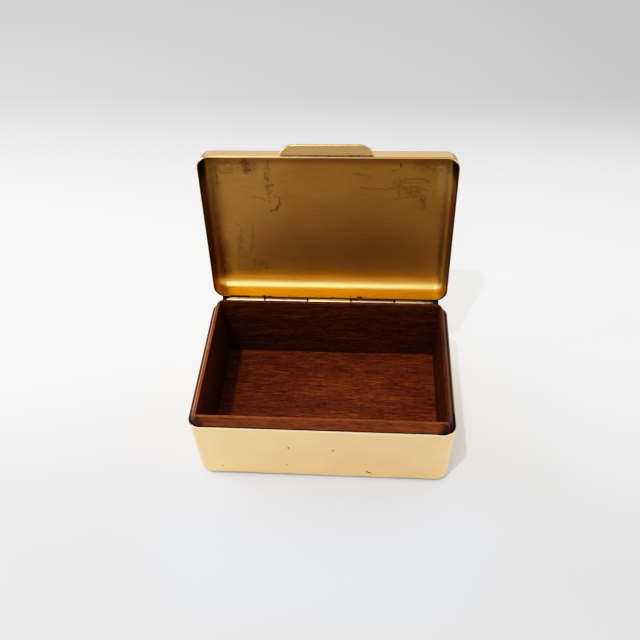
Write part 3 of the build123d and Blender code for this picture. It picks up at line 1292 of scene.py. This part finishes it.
@dataclass
class Hinge:
    """The bars, knuckles and pin, and the solder along the bars.

    A bead's legs are how far it reaches out from the box's back and down or up from the bar, in millimetres.
    """

    nodes: Mapping[str, bpy.types.Object]
    open_turn: Matrix
    case_back: float
    bead_inset: float = 1.0
    bead_legs: tuple[float, float] = (0.6, 0.9)
    end: float = field(init=False)

    def __post_init__(self) -> None:
        """Read where the hinge ends from the frame."""
        self.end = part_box("case_hinge_bar")[1].x / MM

    def build(self) -> None:
        """Dress the hinge and run the solder."""
        low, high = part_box("knuckle_lid_middle")
        pitch = 2 * self.end / round(2 * self.end * MM / (high.x - low.x))
        axis = (low + high) / 2 / MM
        run = (self.end, pitch, axis.y, axis.z)
        lid_brass = HingeBrass("hinge_brass_gold", Shade.HINGE_GOLD.value, *run, crevice_shade=0.8).material()
        case_brass = HingeBrass("hinge_brass_pink", Shade.PINK_GOLD.value, *run, crevice_shade=0.25).material()
        for name, node in self.nodes.items():
            if name.startswith("knuckle_lid") or name == "lid_hinge_bar":
                dress(node, lid_brass)
            elif name.startswith("knuckle_case") or name == "case_hinge_bar":
                dress(node, case_brass)
        dress(self.nodes["hinge_pin"], PinSteel("pin_steel").material())
        self._solder()

    def _solder(self) -> None:
        """Run a bead along each bar's outer edge."""
        metal = SoftSolder("bar_solder").material()
        case_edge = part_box("case_hinge_bar")[0].z / MM
        length = self.end - self.bead_inset
        out, up = self.bead_legs
        case_bead = SolderBead("case_bar_solder", length, self.case_back, case_edge, out, -up, 3)
        lid_bead = SolderBead("lid_bar_solder", length, self.case_back, self._lid_bar_edge(), out, up, 5)
        for bead, turn, body in ((case_bead, Matrix.Identity(4), "case"), (lid_bead, self.open_turn, "lid")):
            piece = bead.mesh(turn)
            dress(piece, metal)
            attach(piece, body)

    def _lid_bar_edge(self) -> float:
        """The height of the lid bar's upper edge on the closed box, in millimetres."""
        closing = self.open_turn.inverted()
        return max((closing @ v.co).z for v in self.nodes["lid_hinge_bar"].data.vertices) / MM


@dataclass
class Lid:
    """The drawn lid with its finger tab and the solder that holds the tab."""

    nodes: Mapping[str, bpy.types.Object]
    outline: Outline
    axis_point: Vector
    open_turn: Matrix
    closing_angle: float
    case_height: float
    view: Viewpoint
    wall: float = 1.2
    rim_gap: float = 0.1
    tab_gap: float = 0.7
    tab_thickness: float = 2.7
    bead_inset: float = 1.0
    under_legs: tuple[float, float] = (-0.9, -0.66)
    above_legs: tuple[float, float] = (-0.8, 0.8)
    mark_width: float = 1.35
    mark_strength: float = 0.85

    def build(self) -> None:
        """Dress the lid and the tab, and run the tab's solder."""
        low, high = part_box("lid_shell")
        centre = (low + high) / 2 / MM
        closing = self.open_turn.inverted()
        heights = [(closing @ v.co).z / MM for v in self.nodes["lid_shell"].data.vertices]
        plate = max(heights) - self.wall
        finish = LidBrass("lid_brass", self.outline, tuple(self.axis_point / MM), self.closing_angle,
                          tuple(centre), min(heights), plate, self._marks(plate), self._clouds(),
                          self._blots(min(heights)))
        dress(self.nodes["lid_shell"], finish.material())
        underside = self.open_turn.to_3x3() @ Vector((0.0, 0.0, -1.0))
        tab = PolishedBrass("tab_brass", colour=Shade.LID_GOLD.value, roughness=0.2, dull_side=tuple(underside))
        dress(self.nodes["finger_tab"], tab.material())
        self._solder()

    def _marks(self, plate: float) -> tuple[Stroke, ...]:
        """Lay the dark marks on the plate, where the lines of sight through their bends meet it.

        Args:
            plate: the height of the closed lid's plate, in millimetres.

        Returns:
            One stroke for each run.
        """
        strokes = []
        for mark in LidMark:
            scratch = mark.value
            ends = [self._on_plate(scratch.seen_in.pixel(bend), plate) for bend in scratch.bends]
            for start, end, (width, force) in zip(ends, ends[1:], scratch.runs):
                strokes.append(Stroke(start, end, self.mark_width * width, self.mark_strength * force))
        return tuple(strokes)

    def _on_plate(self, pixel: Pixel, plate: float) -> Triple:
        """Find the place on the plate that a point of the picture shows.

        Args:
            pixel: the point of the picture.
            plate: the height of the closed lid's plate, in millimetres.

        Returns:
            X and Y on the closed lid in millimetres, and 0.
        """
        on = self.open_turn @ Vector((0.0, 0.0, plate * MM))
        facing = self.open_turn.to_3x3() @ Vector((0.0, 0.0, 1.0))
        x, y, _ = self.open_turn.inverted() @ self.view.meet(pixel, on, facing) / MM
        return (x, y, 0.0)

    def _clouds(self) -> tuple[Stroke, ...]:
        """List the speckled patches inside the lid: X and Y of both ends on the closed lid, width and strength.

        Returns:
            A wide stroke for each.
        """
        patches = (
            (-69.0, -39.5, -48.0, -39.0, 6.5, 0.45),
            (-52.5, -41.0, -50.0, -38.0, 5.0, 1.0),
            (-39.0, -38.0, -38.5, -22.0, 3.5, 0.40),
            (-72.0, 18.0, -73.0, 38.0, 7.0, 0.45),
            (-60.5, 14.0, -59.5, 26.0, 5.0, 0.35),
            (-50.0, 31.5, -44.0, 34.0, 6.0, 0.60),
            (-62.0, 36.0, -52.0, 38.0, 5.0, 0.30),
            (44.0, -28.0, 56.0, -22.0, 6.0, 0.45),
            (60.0, -19.0, 61.0, -12.0, 4.0, 0.45),
            (57.0, -41.0, 76.0, -39.0, 6.0, 0.50),
        )
        return tuple(Stroke((x0, y0, 0.0), (x1, y1, 0.0), width, force)
                     for x0, y0, x1, y1, width, force in patches)

    def _blots(self, rim: float) -> tuple[Stroke, ...]:
        """List the dark blots on the inner back wall, just above the rim.

        Args:
            rim: the height of the closed lid's rim, in millimetres.

        Returns:
            One stroke for each.
        """
        wall_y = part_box("case_shell")[1].y / MM - self.wall
        spots = ((-46.0, -44.6, 0.6, 1.2), (-41.6, -40.6, 0.2, 1.2), (14.6, 15.4, 1.6, 1.0), (19.8, 21.8, 1.2, 1.6),
                 (-27.6, -27.2, 1.4, 0.7), (-68.0, -56.0, 0.2, 0.9), (2.0, 3.0, 0.3, 0.9))
        return tuple(Stroke((x0, wall_y, rim + up), (x1, wall_y, rim + up), size, 0.9)
                     for x0, x1, up, size in spots)

    def _solder(self) -> None:
        """Run a bead under the tab's root and one above it."""
        clean = SoftSolder("clean_tab_solder", Shade.CLEAN_TIN.value).material()
        # the bead under the tab's root is darkened partly as painted shade of the corner under the tab
        stained_and_shaded = SoftSolder("stained_and_shaded_tab_solder", Shade.STAINED_AND_SHADED_TIN.value).material()
        front_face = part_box("case_shell")[0].y / MM
        tab_low = self.case_height + self.rim_gap + self.tab_gap
        tab_high = tab_low + self.tab_thickness
        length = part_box("finger_tab")[1].x / MM - self.bead_inset
        under = SolderBead("tab_solder_under", length, front_face, tab_low, *self.under_legs, seed=11)
        above = SolderBead("tab_solder_above", length, front_face, tab_high, *self.above_legs, seed=17)
        for bead, metal in ((under, stained_and_shaded), (above, clean)):
            piece = bead.mesh(self.open_turn)
            dress(piece, metal)
            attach(piece, "lid")


@dataclass(frozen=True)
class Lamp:
    """A round soft light, in metres and watts."""

    name: str
    place: Triple
    size: float
    power: float
    colour: Triple = (1.0, 1.0, 1.0)

    def hang(self, aim: Vector) -> None:
        """Make the light and point it.

        Args:
            aim: the point that it faces.
        """
        light = bpy.data.lights.new(self.name, "AREA")
        light.shape = "DISK"
        light.size = self.size
        light.energy = self.power
        light.color = self.colour
        holder = bpy.data.objects.new(self.name, light)
        holder.location = self.place
        holder.rotation_euler = (aim - Vector(self.place)).to_track_quat("-Z", "Y").to_euler()
        bpy.context.scene.collection.objects.link(holder)


@dataclass
class Studio:
    """The pale floor, the lights and the camera.

    Places are in metres. The painted shades darken the floor's own tone as a painted falloff of the light where it
    lies nearest, farthest and to the right, and front_painted_cool_tint paints out the warm light that the brass
    throws on it before the box. The sky values are the light's strengths.
    """

    view: Viewpoint
    floor_size: float = 8.0
    floor_tone: float = 0.92
    near_painted_shade: float = 0.63
    far_painted_shade: float = 0.53
    right_painted_shade: float = 0.955
    front_painted_cool_tint: Triple = (1.03, 1.075, 1.16)
    sky_front: float = 0.72
    sky_left: float = 2.0
    sky_right: float = 1.6
    sky_back: float = 0.9
    sky_top: float = 0.45
    sky_high_back: float = 1.6
    lamps: tuple[Lamp, ...] = (
        Lamp("key", (-0.43, -0.61, 2.0), 0.06, 12.0),
        Lamp("left_softbox", (-0.75, 0.1, 0.55), 0.4, 2.4),
        Lamp("window", (-0.5, -1.6, 2.1), 0.9, 11.0),
    )
    aim: Triple = (0.0, 0.0, 0.05)
    film_curve: tuple[tuple[float, float], ...] = (
        (0.02, 0.004), (0.045, 0.013), (0.08, 0.038), (0.14, 0.103), (0.22, 0.20), (0.35, 0.35), (0.60, 0.62),
        (0.75, 0.762), (1.0, 0.865), (1.3, 0.925), (1.7, 0.962), (2.4, 1.0),
    )

    def build(self) -> None:
        """Set up the floor, the light and the camera."""
        self._floor()
        self._sky()
        for lamp in self.lamps:
            lamp.hang(Vector(self.aim))
        self._camera()
        self._film()

    def _floor(self) -> None:
        """Lay the floor under the box."""
        work = bmesh.new()
        bmesh.ops.create_grid(work, x_segments=1, y_segments=1, size=self.floor_size / 2)
        mesh = bpy.data.meshes.new("floor")
        work.to_mesh(mesh)
        work.free()
        floor = bpy.data.objects.new("floor", mesh)
        bpy.context.scene.collection.objects.link(floor)
        material, graph = material_graph("pale_floor")
        point = graph.point()
        x, y, _ = graph.parts(point)
        # painted pool of light: the floor darker towards the front, the back and the right, and cooled before the
        # box
        near = graph.step(y, -120.0, 70.0, self.near_painted_shade, 1.0)
        far = graph.step(y, 150.0, 430.0, 1.0, self.far_painted_shade)
        right = graph.step(x, 110.0, 330.0, 1.0, self.right_painted_shade)
        before_box = Stroke((-50.0, -85.0, 0.0), (50.0, -85.0, 0.0), 95.0).mask(graph, point)
        painted_cool = graph.blend(before_box, (1.0, 1.0, 1.0), self.front_painted_cool_tint)
        tone = graph.scaled(painted_cool, near * far * right * self.floor_tone)
        graph.surface({"Base Color": tone, "Roughness": 0.9, "Specular IOR Level": 0.1})
        dress(floor, material)

    def _sky(self) -> None:
        """Give the room's light: brightest at the sides, and dim towards the camera and overhead."""
        world = bpy.data.worlds.new("studio")
        world.use_nodes = True
        bpy.context.scene.world = world
        graph = Graph(world.node_tree)
        direction = graph.node("TexCoord", output="Generated")
        x, y, z = graph.parts(direction)
        side = graph.step(x, -0.6, 0.6, self.sky_left, self.sky_right)
        ahead = graph.step(y, -0.05, -0.75)
        behind = graph.step(y, 0.2, 0.85)
        level = side * (1.0 - ahead - behind) + ahead * self.sky_front + behind * self.sky_back
        high = graph.step(z, 0.45, 0.75)
        ceiling = graph.step(y, 0.1, 0.6, self.sky_top, self.sky_high_back)
        strength = level * (1.0 - high) + high * ceiling
        light = graph.node("Background", None, {"Color": (1.0, 1.0, 1.0), "Strength": strength})
        graph.end("OutputWorld", light)

    def _film(self) -> None:
        """Keep colours as they are, with a soft shoulder for the brightest ones."""
        view = bpy.context.scene.view_settings
        view.view_transform = "Standard"
        view.use_curve_mapping = True
        mapping = view.curve_mapping
        mapping.clip_max_x, mapping.clip_max_y = self.film_curve[-1]
        curve = mapping.curves[3]  # the one for all three channels
        curve.points[-1].location = self.film_curve[-1]
        for x, y in self.film_curve[:-1]:
            curve.points.new(x, y)
        mapping.update()

    def _camera(self) -> None:
        """Place the camera where the photograph was taken from."""
        data = bpy.data.cameras.new("camera")
        data.sensor_width = 36.0
        data.lens = self.view.focal_pixels / self.view.frame_pixels * data.sensor_width
        camera = bpy.data.objects.new("camera", data)
        camera.matrix_world = self.view.matrix()
        bpy.context.scene.collection.objects.link(camera)
        bpy.context.scene.camera = camera


def main() -> None:
    """Load the frame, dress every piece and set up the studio."""
    logging.basicConfig(level=logging.INFO, format="%(name)s: %(message)s")
    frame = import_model()
    nodes = frame["nodes"]
    joint = frame["joints"][0]
    axis_point = Vector(joint["pos_m"])
    closing_angle = math.radians(joint["range_deg"][1])
    to_axis = Matrix.Translation(axis_point)
    open_turn = to_axis @ Matrix.Rotation(-closing_angle, 4, Vector(joint["axis"])) @ to_axis.inverted()
    view = Viewpoint()
    case = CaseBody(nodes)
    case.build()
    Lining(nodes, case.height, view).build()
    Hinge(nodes, open_turn, case.outline.half_depth).build()
    Lid(nodes, case.outline, axis_point, open_turn, closing_angle, case.height, view).build()
    Studio(view).build()


if __name__ == "__main__":
    main()
